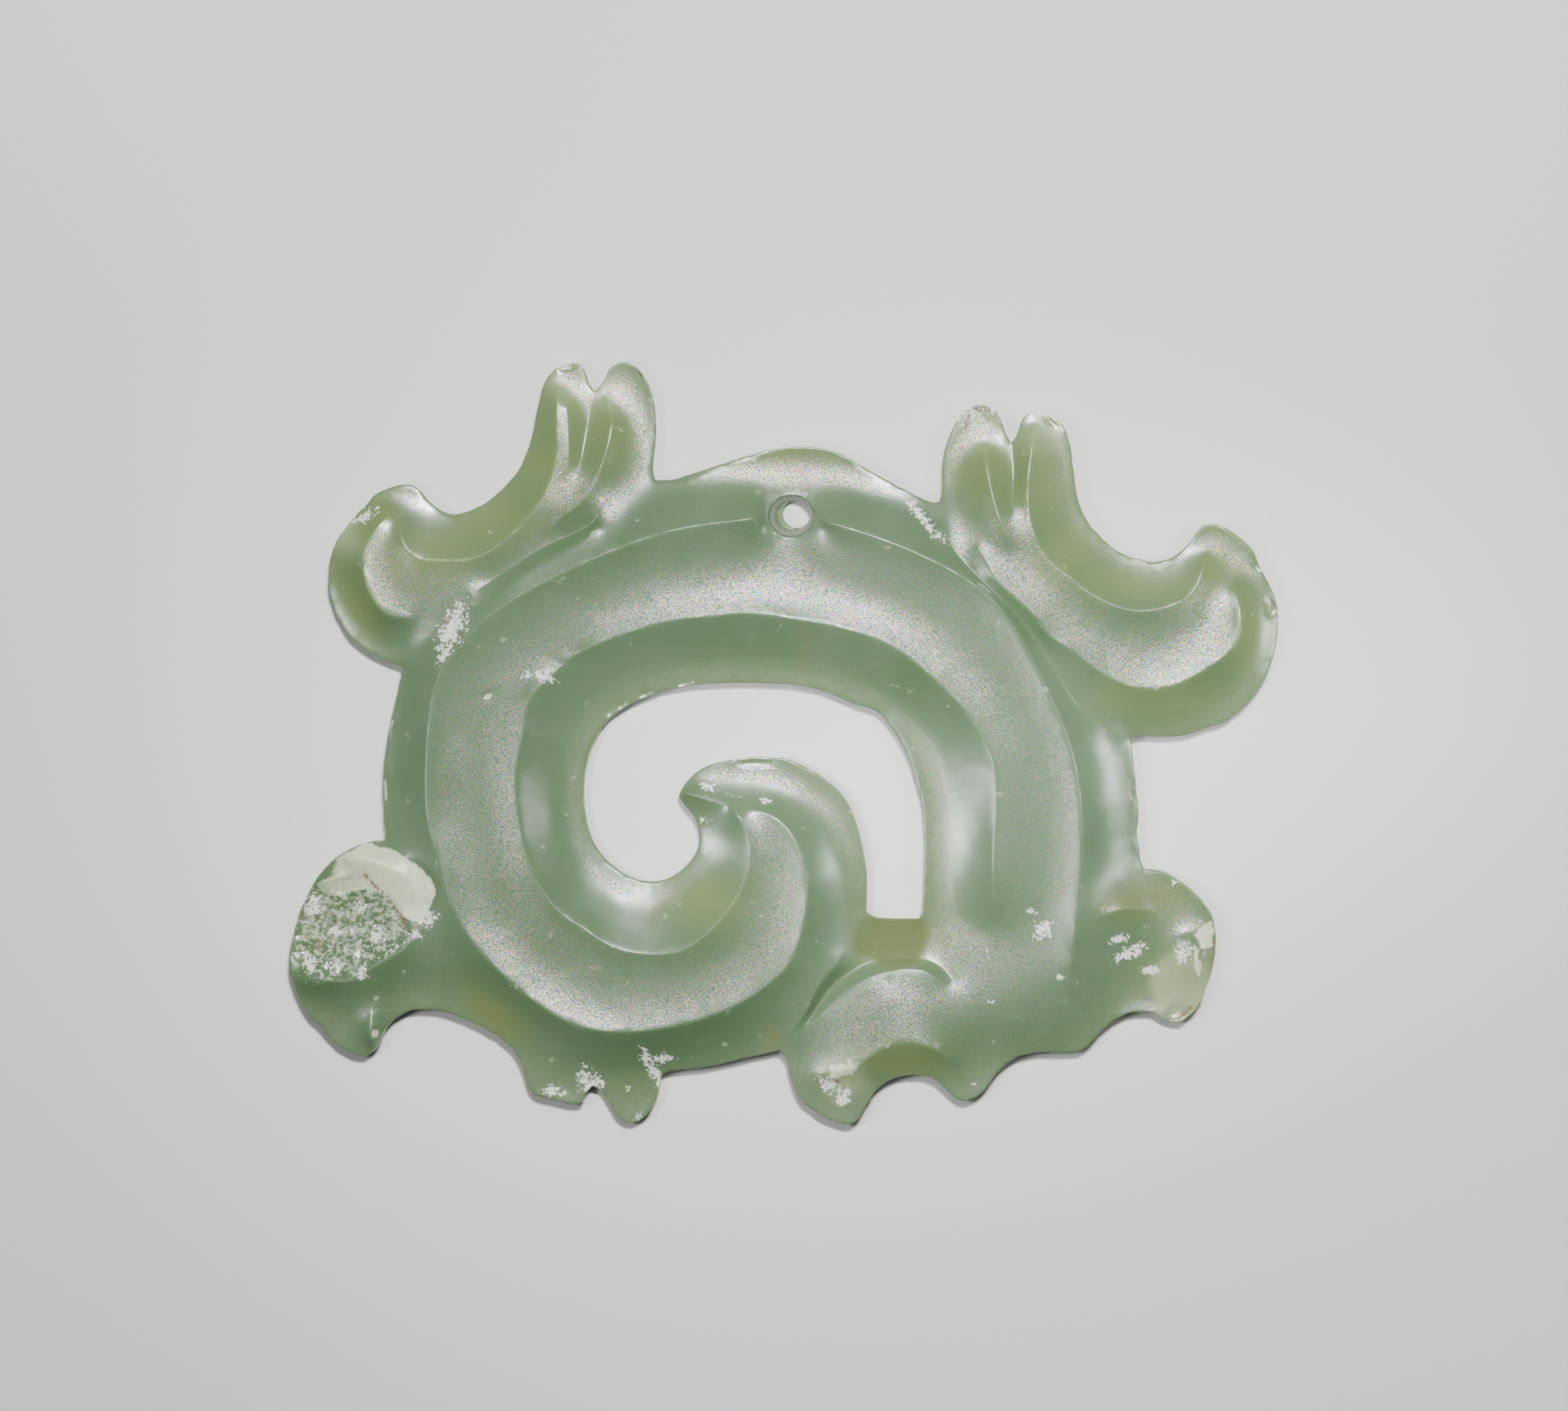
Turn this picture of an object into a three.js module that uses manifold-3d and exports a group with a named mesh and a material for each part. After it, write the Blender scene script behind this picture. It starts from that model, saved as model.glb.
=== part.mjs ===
// Hooked-cloud plaque carved from one slab of pale green jade, with one drilled hole to hang it by.
// Units are millimetres. The plaque lies on its flat back: +Z points out of the carved face, +Y
// towards the edge with the hole, +X to the right of the carved face. The origin is on the back,
// under the middle of the plaque.

import * as THREE from "three";
import Module from "manifold-3d";
import { mergeVertices } from "three/addons/utils/BufferGeometryUtils.js";

// Heights over the flat back. The slab is thickest along its ridges and thins to a blunt edge.
const RING_RIDGE = 5.6;
const INNER_RIDGE = 5.2;
const SHOULDER_RIDGE = 5.0;
const HOOK_RIDGE = 4.6;
const PRONG_RIDGE = 3.9;
const LOBE_RIDGE = 4.4;
const LOBE_CREST = 3.2;
const LOBE_DITCH = 1.9;
const CURL_TIP = 3.0;
const VALLEY = 3.6;
const FORK_FLOOR = 1.9;
const MEMBRANE = 1.7;
const BREAK_LIP = 4.3;
const BREAK_FLOOR = 3.3;

// Thickness of the edge all round each part of the outline, and the small bevel under it.
const BODY_EDGE = 2.3;
const HOOK_EDGE = 2.0;
const MEMBRANE_EDGE = 1.4;
const BACK_BEVEL = 0.5;

// A groove one span wide, between two ridges of equal height, is this deep in the middle.
const GROOVE_SPAN = 13;
const GROOVE_DEPTH = 1.1;

// The bevels are hollower than the grooves, most of all at the edge, over this reach from it.
const BEVEL_BEND = 0.115;
const BEVEL_REACH = 5.5;

// The suspension hole, drilled from the front as a cone that opens into a narrow bore.
const HOLE = { x: 1.1, y: 29.6, mouth: 3.3, boreX: 1.75, boreY: 29.8, bore: 1.8, coneDepth: 3.4 };

// Spacing of the mesh along the outline, along the ridges and over the open surface.
const OUTLINE_STEP = 1.3;
const RIDGE_STEP = 1.5;
const FIELD_STEP = 1.6;
const RELAX_SWEEPS = 260;

// Ovals where the surface swells up instead of sagging, by its bend in the middle.
const SWELLS = [
  { name: "full face of the lobe under the opening", x: 13, y: -34.5, long: 11, wide: 8, bend: -0.045 },
  { name: "smooth foot of the right leg", x: 31, y: -34, long: 13, wide: 8, bend: -0.045 },
];

// The outline, clockwise, in stretches that run from one sharp corner to the next. Each stretch is
// a smooth curve through its points, and the last point of one is the first point of the next.
const OUTLINE = [
  { name: "upper left hook, up to the fork of its prongs", edge: HOOK_EDGE, through: [
    [-49.2, 9.9], [-53.1, 11.6], [-55.9, 13.8], [-58.6, 19.4], [-58.1, 25.4], [-54.9, 29.9],
    [-53.9, 30.8], [-52.7, 32.3], [-48.2, 33.6], [-46.9, 32.8], [-45.5, 31.1], [-42.6, 29.7],
    [-39, 30.9], [-35, 34.4], [-33, 38], [-30.6, 47.2], [-28.6, 49], [-26.2, 49.1], [-24.8, 46],
    [-24.4, 45.6],
  ] },
  { name: "second prong on the upper left", edge: HOOK_EDGE, through: [
    [-24.4, 45.6], [-23.8, 45.9], [-21.9, 49.1], [-19.8, 49.3], [-18, 47.7], [-16.8, 44.8],
    [-16.4, 40.6], [-16.8, 35], [-16.5, 34.2],
  ] },
  { name: "crest over the hole", edge: BODY_EDGE, through: [
    [-16.5, 34.2], [-14.5, 34.2], [-3, 37.7], [0.7, 38.3], [5, 38.2], [7.9, 37.3], [11.1, 35.4],
    [19.7, 31.1], [20.2, 31.3],
  ] },
  { name: "first prong on the upper right", edge: HOOK_EDGE, through: [
    [20.2, 31.3], [20.5, 32.2], [20.8, 37.7], [23.2, 42.8], [25.4, 43.9], [27.3, 43.4],
    [29.2, 39.1], [29.5, 38.9],
  ] },
  { name: "second prong and the upper right hook", edge: HOOK_EDGE, through: [
    [29.5, 38.9], [29.9, 39.2], [31.6, 42.8], [35.3, 41.9], [36.7, 40.2], [38.2, 31.3],
    [39.5, 28.6], [43, 25.1], [45.1, 24.1], [47, 23.8], [47.5, 23.5], [50.2, 24.1], [52.4, 25.8],
    [54.3, 28.3], [56.4, 28.3], [60.7, 25.1], [61.2, 23.9], [63.9, 17.5], [62.4, 8.8], [57.5, 3.2],
    [54.1, 1.9], [52.6, 1.3], [49, 0.9], [45.2, 1.1], [44.9, 0.8],
  ] },
  { name: "right side", edge: BODY_EDGE, through: [
    [44.9, 0.8], [45.9, -9], [45.7, -11.2], [46, -13.4], [46.1, -15], [46.6, -16.1],
  ] },
  { name: "lower right hook", edge: BODY_EDGE, through: [
    [46.6, -16.1], [49.8, -16.7], [55, -21.3], [55.9, -24.9], [55.4, -29.2], [54.6, -30.9],
    [54.4, -32.3], [53.6, -33.9], [51.1, -36], [49, -35.5], [47.6, -34.7], [44.3, -34.9],
    [41.6, -36.6], [38.9, -39.4], [37.8, -39.8],
  ] },
  { name: "scallops along the bottom right", edge: BODY_EDGE, through: [
    [37.8, -39.8], [31.2, -40.1], [28.4, -41.6], [25.5, -45.2], [23.2, -46.2], [18.9, -43],
    [15.4, -42.9], [12.6, -44.1], [9.4, -48.8], [8.2, -49.2], [4, -47.5], [1.8, -45.3], [0, -39.8],
    [-0.4, -39.6],
  ] },
  { name: "bottom edge", edge: BODY_EDGE, through: [
    [-0.4, -39.6], [-10.6, -41.8], [-15, -42.3], [-15.7, -42.8],
  ] },
  { name: "tooth under the ring", edge: HOOK_EDGE, through: [
    [-15.7, -42.8], [-15.8, -44], [-17, -47.2], [-18.7, -48.8], [-20, -49], [-21.1, -48.5],
    [-23.9, -44.3], [-24.7, -44.2],
  ] },
  { name: "second tooth and the lower left hook", edge: BODY_EDGE, through: [
    [-24.7, -44.2], [-25.2, -44.5], [-26.1, -46.5], [-29.6, -45.9], [-32.1, -45.3], [-33.2, -43.5],
    [-34, -40.8], [-36, -38.4], [-43, -34.8], [-47.1, -34.3], [-49.4, -35], [-51.3, -36.8],
    [-52.2, -39], [-53.9, -40.3], [-57.1, -39.2], [-59.8, -36.5], [-61.2, -35.1], [-63.6, -30.3],
    [-63.6, -26.2], [-61.6, -19.7], [-58.2, -15], [-53.9, -12.7], [-51.4, -12.4],
  ] },
  { name: "left side", edge: BODY_EDGE, through: [
    [-51.4, -12.4], [-51.6, -2.9], [-49.2, 9.9],
  ] },
];

// The opening inside the ring, from the tip of the inner curl and back to it.
const OPENING = [
  { name: "left lobe, arch and right leg", edge: HOOK_EDGE, through: [
    [-13.5, -6.7], [-13, -7.6], [-11.2, -9.9], [-11, -13.5], [-14.9, -17.4], [-19.2, -17.4],
    [-24.2, -13.2], [-25.7, -5], [-23.1, 2.5], [-14.9, 7], [-0.6, 7.8], [4.7, 7], [9.6, 5],
    [12, 4.3], [15.5, -0.3], [17.4, -5.7], [18.1, -9.6], [17.9, -21.7], [17.6, -22.6],
  ] },
  { name: "foot, the edge of the thin membrane", edge: MEMBRANE_EDGE, through: [
    [17.6, -22.6], [11.4, -22.3], [10.8, -21.7],
  ] },
  { name: "back of the inner curl", edge: HOOK_EDGE, through: [
    [10.8, -21.7], [10.7, -15.5], [7.8, -6.7], [0.8, -2], [-1.5, -1.8], [-3.8, -1.7],
    [-10.4, -3.1], [-13.1, -5.7], [-13.5, -6.7],
  ] },
];

// Lines that the carver left standing or cut down. Heights are spread evenly from end to end. Over
// the length in fadeIn or fadeOut a line gives way to the surface round it.
const CARVED_LINES = [
  { name: "outer ridge of the ring, from the hole round the left and into the curl", fadeIn: 2,
    heights: [RING_RIDGE, RING_RIDGE, RING_RIDGE, RING_RIDGE, RING_RIDGE, RING_RIDGE, 5.3, CURL_TIP],
    through: [
    [-2.2, 29.2], [-16.3, 26.9], [-37, 17], [-43.3, 10.6], [-45, 6.2], [-45.6, -9.6],
    [-43.3, -16.3], [-42.9, -19], [-39.8, -25.4], [-28.6, -35.2], [-21, -37], [-8.9, -34.8],
    [-1.3, -30.4], [1.1, -27.6], [3, -20.4], [1.7, -12.5], [-1.2, -9.3], [-6.8, -7.9],
    [-12.5, -6.3],
    ] },
  { name: "outer ridge of the ring, right of the hole", fadeIn: 2, fadeOut: 12,
    heights: [RING_RIDGE, RING_RIDGE, RING_RIDGE, 5.2], through: [
    [4.6, 29], [17, 24.6], [27, 18.5], [35.6, 3.2], [37.6, -3.8], [38.3, -13.4], [36.5, -33],
    ] },
  { name: "inner ridge of the ring, over the arch and down the right leg", fadeIn: 8, fadeOut: 4,
    heights: [INNER_RIDGE], through: [
    [27.2, -23.4], [27, -15.8], [26.6, -0.9], [17.3, 10.2], [10.9, 13.9], [-5.1, 16.8],
    [-8.2, 16.4], [-14.6, 15.8], [-25.7, 12], [-28.1, 10.3],
    ] },
  { name: "inner ridge of the ring, round the left into the curl", fadeIn: 6,
    heights: [INNER_RIDGE, INNER_RIDGE, INNER_RIDGE, INNER_RIDGE, 4.4], through: [
    [-28.1, 10.3], [-32.6, 5.8], [-33.2, 1.9], [-34.3, -4.3], [-32.4, -15.8], [-29.2, -21.1],
    [-25.4, -23.8], [-21, -26.4], [-12.9, -26.4], [-6, -19.7], [-4.2, -14.2], [-4.8, -10.9],
    [-6.8, -7.9],
    ] },
  { name: "shoulder between the ring and the upper left hook", fadeIn: 4,
    heights: [4.6, SHOULDER_RIDGE, 5.4], through: [
    [-21.4, 29.8], [-25, 26.9], [-34.4, 21], [-40.4, 14.5],
    ] },
  { name: "valley above that shoulder", fadeIn: 3, fadeOut: 3,
    heights: [3.2, VALLEY, 4.0], through: [
    [-15.2, 32.8], [-21, 30.4], [-26, 27.6], [-31, 25.2], [-40, 19.4],
    ] },
  { name: "outer ridge round the end of the upper left hook", fadeIn: 3, fadeOut: 5,
    heights: [3.6, HOOK_RIDGE, HOOK_RIDGE], through: [
    [-50.1, 30.6], [-53.8, 25.6], [-54.1, 22.2], [-51.1, 16.7], [-46.7, 16.2],
    ] },
  { name: "inner ridge that curls into the tip of the upper left hook", fadeIn: 2,
    heights: [3.4, 4.5, HOOK_RIDGE], through: [
    [-49.3, 29.5], [-48.8, 25.6], [-46.7, 23.7],
    ] },
  { name: "back of the upper left hook, up into the first prong", fadeOut: 2,
    heights: [HOOK_RIDGE, 4.5, 4.3, PRONG_RIDGE, 3.2], through: [
    [-46.7, 23.7], [-39, 24.2], [-31.2, 31.5], [-29.1, 38.6], [-29.3, 40], [-29, 46],
    ] },
  { name: "edge of the flute on the first prong, upper left", fadeIn: 2, fadeOut: 4,
    heights: [3.1, PRONG_RIDGE, 4.1], through: [
    [-27.9, 45], [-27.7, 36], [-29, 31.8],
    ] },
  { name: "cut between the prongs on the upper left", fadeOut: 4,
    heights: [FORK_FLOOR, 2.6, 3.4], through: [
    [-24.5, 45.5], [-26.5, 34],
    ] },
  { name: "ridge on the second prong, upper left", fadeIn: 3, fadeOut: 4,
    heights: [3.0, PRONG_RIDGE, 4.3, 4.4], through: [
    [-21.9, 44.2], [-22.5, 38.6], [-25.4, 31.8], [-29, 28.8], [-30.2, 27.6],
    ] },
  { name: "ridge on the first prong, upper right", fadeIn: 2, fadeOut: 3,
    heights: [3.2, PRONG_RIDGE, 4.3], through: [
    [24.7, 37.4], [24.2, 35.3], [26.1, 26.6],
    ] },
  { name: "edge of the flute on the first prong, upper right", fadeIn: 2, fadeOut: 3,
    heights: [3.3, 4.2, 4.6, 4.8], through: [
    [26, 38.1], [26.5, 33.9], [28, 28.2], [29.8, 24.6],
    ] },
  { name: "cut between the prongs on the upper right", fadeOut: 4,
    heights: [FORK_FLOOR, 2.6, 3.6], through: [
    [29.5, 38.9], [29.8, 36], [29.4, 29.4],
    ] },
  { name: "second prong and back of the upper right hook", fadeIn: 3, fadeOut: 3,
    heights: [3.0, PRONG_RIDGE, 4.5, HOOK_RIDGE, HOOK_RIDGE, 4.2, 3.0], through: [
    [32.5, 41.5], [31.5, 31.1], [33.7, 24.2], [37, 21.5], [38.9, 19.8], [45.5, 17.1], [52.4, 19.2],
    [54.8, 24.8],
    ] },
  { name: "lower ridge of the upper right hook, round to its tip", fadeIn: 3, fadeOut: 6,
    heights: [3.4, 4.9, SHOULDER_RIDGE, 4.8, HOOK_RIDGE, 4.2], through: [
    [20.2, 30.8], [25.6, 24.4], [27.2, 21.3], [32.6, 16.2], [34.2, 13.8], [37, 12.2], [40.8, 9.2],
    [45.5, 7.2], [50.7, 7.7], [58.3, 13], [58.9, 17.1], [57.9, 21.3],
    ] },
  { name: "valley between the ring and the upper right hook", fadeIn: 4, fadeOut: 1,
    heights: [3.8, 4.2, VALLEY, 2.6], through: [
    [19.5, 28.8], [22.5, 24.2], [30.8, 15.8], [38.8, 4], [44.5, 0.5],
    ] },
  { name: "ridge on the lower right hook", fadeIn: 4, fadeOut: 5,
    heights: [4.9, LOBE_RIDGE, 4.2], through: [
    [38.8, -23.5], [43.8, -21.1], [47.3, -21.5],
    ] },
  { name: "edge of the face on the tip of the lower right hook", fadeIn: 3, fadeOut: 3,
    heights: [3.6], through: [
    [51.7, -23.8], [53.3, -28.2], [53.1, -30.6],
    ] },
  { name: "crest of the lobe under the opening", fadeIn: 2, fadeOut: 3,
    heights: [3.0, 3.1, LOBE_CREST, LOBE_CREST, 3.2], through: [
    [3.6, -42.8], [3.2, -39.4], [3, -38], [6.6, -33], [11.8, -29.7], [18.2, -29.1], [21.8, -32.2],
    ] },
  { name: "narrow ditch outside that crest", fadeIn: 3, fadeOut: 3,
    heights: [2.9, 2.2, LOBE_DITCH, LOBE_DITCH, 2.6], through: [
    [2, -37.6], [6.8, -30.8], [11.4, -28.3], [19.6, -28.3], [22.8, -31.4],
    ] },
  { name: "foot of that lobe, over the scallop", fadeIn: 2, fadeOut: 4,
    heights: [3.2, 4.5, 4.5], through: [
    [3.6, -42.8], [9.4, -41.4], [14, -38.6], [19, -39], [22, -41],
    ] },
  { name: "small shoulder left of the lobe", fadeIn: 2, fadeOut: 2,
    heights: [3.2, 3.8, 3.6], through: [
    [0.6, -37.6], [3.2, -34], [4.4, -31.4], [6.8, -28.6], [8, -28.3],
    ] },
  { name: "soft ridge down the second tooth", fadeIn: 3, fadeOut: 2,
    heights: [4.2, 3.7, 2.8], through: [
    [-32, -36.2], [-30.6, -43.2],
    ] },
  { name: "line down to the tip of the lower left hook", fadeIn: 3, fadeOut: 1,
    heights: [4.4, 4.1, 3.2], through: [
    [-53.1, -34.4], [-53, -39.6],
    ] },
  { name: "thin membrane under the foot of the opening", heights: [MEMBRANE], through: [
    [11.2, -23.6], [10.8, -25], [12.2, -26.1], [15, -26.5], [17.6, -26.1], [18.4, -25], [17.8, -23.6],
  ] },
  { name: "middle of the membrane", heights: [MEMBRANE], through: [[12.8, -24.8], [16.6, -24.8]] },
  { name: "lip of the break on the lower left lobe", heights: [BREAK_LIP], through: [
    [-57.5, -15], [-54.5, -14.6], [-50.5, -16], [-46.9, -18.6], [-45.9, -21.6], [-48, -25.6],
    [-52.5, -28.6], [-56, -30.4], [-60.4, -30.2],
  ] },
  { name: "floor of the break", heights: [BREAK_FLOOR], through: [
    [-58.6, -17.6], [-54.6, -16.8], [-51.2, -18], [-48.8, -20.4], [-49.6, -24.6], [-53.4, -27.4],
    [-57, -28.6], [-60.2, -27.6],
  ] },
];

// Smooth curve through flat points, and a last point on it. One segment stays straight.
function smoothCurve(points) {
  const at = points.map(([x, y]) => new THREE.Vector3(x, y, 0));
  return new THREE.CatmullRomCurve3(at, false, "centripetal");
}

// Value at fraction t of a list of values that are spread evenly from end to end.
function spread(values, t) {
  const place = t * (values.length - 1);
  const i = Math.min(Math.floor(place), Math.max(values.length - 2, 0));
  const next = values[Math.min(i + 1, values.length - 1)];
  return THREE.MathUtils.lerp(values[i], next, place - i);
}

// One closed loop of edge points from its stretches. Edge heights blend across each corner.
function closedLoop(stretches) {
  const loop = [];
  for (const { through, edge } of stretches) {
    const curve = smoothCurve(through);
    const steps = Math.max(2, Math.round(curve.getLength() / OUTLINE_STEP));
    const points = curve.getSpacedPoints(steps);
    points.pop();
    for (const { x, y } of points) {
      loop.push({ x, y, z: edge });
    }
  }
  const reach = 3;
  const heights = loop.map((_, i) => {
    let sum = 0;
    for (let k = -reach; k <= reach; k++) {
      sum += loop[(i + k + loop.length) % loop.length].z;
    }
    return sum / (2 * reach + 1);
  });
  loop.forEach((point, i) => {
    point.z = heights[i];
    point.hold = 1;
  });
  return loop;
}

// Points along one carved line, each with its height and how firmly it is held there, from 0 to 1.
function carvedPoints({ through, heights, fadeIn = 0, fadeOut = 0 }) {
  const curve = smoothCurve(through);
  const length = curve.getLength();
  const steps = Math.max(2, Math.round(length / RIDGE_STEP));
  return curve.getSpacedPoints(steps).map(({ x, y }, i) => {
    const along = (i / steps) * length;
    const start = fadeIn ? Math.min(1, (along + 0.2) / fadeIn) : 1;
    const end = fadeOut ? Math.min(1, (length - along + 0.2) / fadeOut) : 1;
    return { x, y, z: spread(heights, i / steps), hold: Math.min(start, end) };
  });
}

const gap = (a, b) => Math.hypot(a.x - b.x, a.y - b.y);

// Even-odd test of a point against several closed loops.
function isInside(point, loops) {
  let inside = false;
  for (const loop of loops) {
    for (let i = 0, j = loop.length - 1; i < loop.length; j = i++) {
      const a = loop[i];
      const b = loop[j];
      const crosses = a.y > point.y !== b.y > point.y;
      if (crosses && point.x < ((b.x - a.x) * (point.y - a.y)) / (b.y - a.y) + a.x) {
        inside = !inside;
      }
    }
  }
  return inside;
}

// All points of the carved face: the loops first, then the carved lines, then an even field of
// points between them. A point too close to one that is already there is left out.
function facePoints(loops) {
  const points = loops.flat();
  const free = (p, room) => points.every((q) => gap(p, q) > room);
  for (const line of CARVED_LINES) {
    const clear = carvedPoints(line).filter((p) => free(p, 0.55 * RIDGE_STEP));
    points.push(...clear.filter((p) => isInside(p, loops)));
  }
  const xs = loops[0].map((p) => p.x);
  const ys = loops[0].map((p) => p.y);
  const rowStep = FIELD_STEP * Math.sqrt(0.75);
  let row = 0;
  for (let y = Math.min(...ys); y < Math.max(...ys); y += rowStep) {
    row += 1;
    for (let x = Math.min(...xs); x < Math.max(...xs); x += FIELD_STEP) {
      const wobble = 0.03 * Math.sin(12.9 * x + 78.2 * y);
      const point = { x: x + (row % 2) * 0.5 * FIELD_STEP + wobble, y: y + wobble, hold: 0 };
      if (isInside(point, loops) && free(point, 0.72 * FIELD_STEP)) {
        points.push(point);
      }
    }
  }
  return points;
}

// The circle through three points, as centre and squared radius.
function circleThrough(a, b, c) {
  const bx = b.x - a.x;
  const by = b.y - a.y;
  const cx = c.x - a.x;
  const cy = c.y - a.y;
  const d = 2 * (bx * cy - by * cx);
  const ux = (cy * (bx * bx + by * by) - by * (cx * cx + cy * cy)) / d;
  const uy = (bx * (cx * cx + cy * cy) - cx * (bx * bx + by * by)) / d;
  return { x: a.x + ux, y: a.y + uy, r2: ux * ux + uy * uy };
}

// Delaunay triangles over flat points, made by adding one point at a time inside a large triangle
// and joining it to the rim of all the triangles whose circles hold it.
function delaunay(points) {
  const far = 4000;
  const all = [...points, { x: -far, y: -far }, { x: far, y: -far }, { x: 0, y: far }];
  const first = points.length;
  const newTriangle = (a, b, c) => ({ ids: [a, b, c], circle: circleThrough(all[a], all[b], all[c]) });
  let triangles = [newTriangle(first, first + 1, first + 2)];
  for (let p = 0; p < points.length; p++) {
    const rim = new Map();
    const kept = [];
    for (const triangle of triangles) {
      const { x, y, r2 } = triangle.circle;
      if ((points[p].x - x) ** 2 + (points[p].y - y) ** 2 >= r2) {
        kept.push(triangle);
        continue;
      }
      const [a, b, c] = triangle.ids;
      for (const [from, to] of [[a, b], [b, c], [c, a]]) {
        if (!rim.delete(`${to},${from}`)) {
          rim.set(`${from},${to}`, [from, to]);
        }
      }
    }
    triangles = kept;
    for (const [from, to] of rim.values()) {
      triangles.push(newTriangle(from, to, p));
    }
  }
  return triangles.map((t) => t.ids).filter((ids) => Math.max(...ids) < first);
}

// How strongly the surface sags at a point: like a groove, like a bevel near the edge, or the
// other way round inside a swell.
function bendAt(point, loops) {
  const groove = (8 * GROOVE_DEPTH) / GROOVE_SPAN ** 2;
  const edgeGap = Math.min(...loops.flat().map((p) => gap(p, point)));
  const nearEdge = Math.sqrt(Math.max(0, 1 - edgeGap / BEVEL_REACH));
  let bend = THREE.MathUtils.lerp(groove, BEVEL_BEND, nearEdge);
  for (const swell of SWELLS) {
    const reach = Math.hypot((point.x - swell.x) / swell.long, (point.y - swell.y) / swell.wide);
    bend = THREE.MathUtils.lerp(bend, swell.bend, Math.max(0, 1 - reach ** 2));
  }
  return bend;
}

// Heights of the free points: the surface hangs between the held lines like a film, and sags a
// little, which cuts the shallow grooves between the ridges.
function relax(points, triangles, loops) {
  const neighbours = points.map(() => new Set());
  for (const [a, b, c] of triangles) {
    neighbours[a].add(b).add(c);
    neighbours[b].add(c).add(a);
    neighbours[c].add(a).add(b);
  }
  const near = neighbours.map((set) => [...set]);
  const sag = points.map((p, i) => {
    const reach = near[i].reduce((sum, j) => sum + gap(p, points[j]) ** 2, 0) / near[i].length;
    return (bendAt(p, loops) * reach) / 4;
  });
  const target = points.map((p) => p.z ?? BODY_EDGE);
  points.forEach((p, i) => {
    p.z = target[i];
  });
  const push = 1.6;
  for (let sweep = 0; sweep < RELAX_SWEEPS; sweep++) {
    points.forEach((p, i) => {
      if (p.hold < 1) {
        const mean = near[i].reduce((sum, j) => sum + points[j].z, 0) / near[i].length;
        const film = THREE.MathUtils.lerp(mean - sag[i], target[i], p.hold);
        p.z += push * (film - p.z);
      }
    });
  }
}

// The loop moved inwards by the back bevel, as it lies on the flat back.
function bevelled(loop) {
  return loop.map((p, i) => {
    const before = loop[(i + loop.length - 1) % loop.length];
    const after = loop[(i + 1) % loop.length];
    const along = new THREE.Vector2(after.x - before.x, after.y - before.y).normalize();
    return new THREE.Vector2(p.x + along.y * BACK_BEVEL, p.y - along.x * BACK_BEVEL);
  });
}

// The whole slab as one closed surface: carved face, edges all round, and the flat back.
function slabGeometry(loops) {
  const points = facePoints(loops);
  const face = delaunay(points).filter((ids) => {
    const [a, b, c] = ids.map((i) => points[i]);
    return isInside({ x: (a.x + b.x + c.x) / 3, y: (a.y + b.y + c.y) / 3 }, loops);
  });
  relax(points, face, loops);
  const positions = points.flatMap((p) => [p.x, p.y, p.z]);
  const index = face.flat();
  const edgeCount = loops.flat().length;
  const lower = positions.length / 3;
  const inset = loops.map(bevelled);
  for (const p of loops.flat()) {
    positions.push(p.x, p.y, BACK_BEVEL);
  }
  for (const p of inset.flat()) {
    positions.push(p.x, p.y, 0);
  }
  let start = 0;
  for (const loop of loops) {
    for (let i = 0; i < loop.length; i++) {
      const a = start + i;
      const b = start + ((i + 1) % loop.length);
      const c = lower + a;
      const d = lower + b;
      index.push(a, b, d, a, d, c);
      index.push(c, d, d + edgeCount, c, d + edgeCount, c + edgeCount);
    }
    start += loop.length;
  }
  const back = THREE.ShapeUtils.triangulateShape(inset[0], inset.slice(1));
  for (const [a, b, c] of back) {
    const base = lower + edgeCount;
    index.push(base + c, base + b, base + a);
  }
  const geometry = new THREE.BufferGeometry();
  geometry.setAttribute("position", new THREE.Float32BufferAttribute(positions, 3));
  geometry.setIndex(index);
  return geometry;
}

const wasm = await Module();
wasm.setup();

// Closed surface to solid, for cutting.
function toSolid(geometry) {
  const bare = geometry.clone();
  bare.deleteAttribute("normal");
  bare.deleteAttribute("uv");
  const merged = mergeVertices(bare, 1e-4);
  const mesh = new wasm.Mesh({
    numProp: 3,
    vertProperties: new Float32Array(merged.attributes.position.array),
    triVerts: new Uint32Array(merged.index.array),
  });
  return new wasm.Manifold(mesh);
}

// Solid back to a surface with flat faces.
function toGeometry(solid) {
  const { vertProperties, triVerts } = solid.getMesh();
  const geometry = new THREE.BufferGeometry();
  geometry.setAttribute("position", new THREE.BufferAttribute(vertProperties, 3));
  geometry.setIndex(new THREE.BufferAttribute(triVerts, 1));
  const flat = geometry.toNonIndexed();
  flat.computeVertexNormals();
  return flat;
}

// A round cutter that stands on end, from z = bottom to z = top.
function upright(x, y, bottomRadius, topRadius, bottom, top) {
  const geometry = new THREE.CylinderGeometry(topRadius, bottomRadius, top - bottom, 32);
  geometry.rotateX(Math.PI / 2);
  geometry.translate(x, y, (top + bottom) / 2);
  return toSolid(geometry);
}

// The hole: a cone from the front that meets the bore, drilled a little off its centre.
function drill(slab) {
  const floor = RING_RIDGE - 1.2 - HOLE.coneDepth;
  const slope = (HOLE.mouth - HOLE.bore) / HOLE.coneDepth;
  const top = RING_RIDGE + 1;
  const topRadius = HOLE.bore + slope * (top - floor);
  const cone = upright(HOLE.x, HOLE.y, HOLE.bore, topRadius, floor, top);
  const bore = upright(HOLE.boreX, HOLE.boreY, HOLE.bore, HOLE.bore, -1, top);
  return slab.subtract(cone).subtract(bore);
}

const jade = new THREE.MeshStandardMaterial({ color: 0x8fa384, roughness: 0.35, metalness: 0 });

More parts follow.
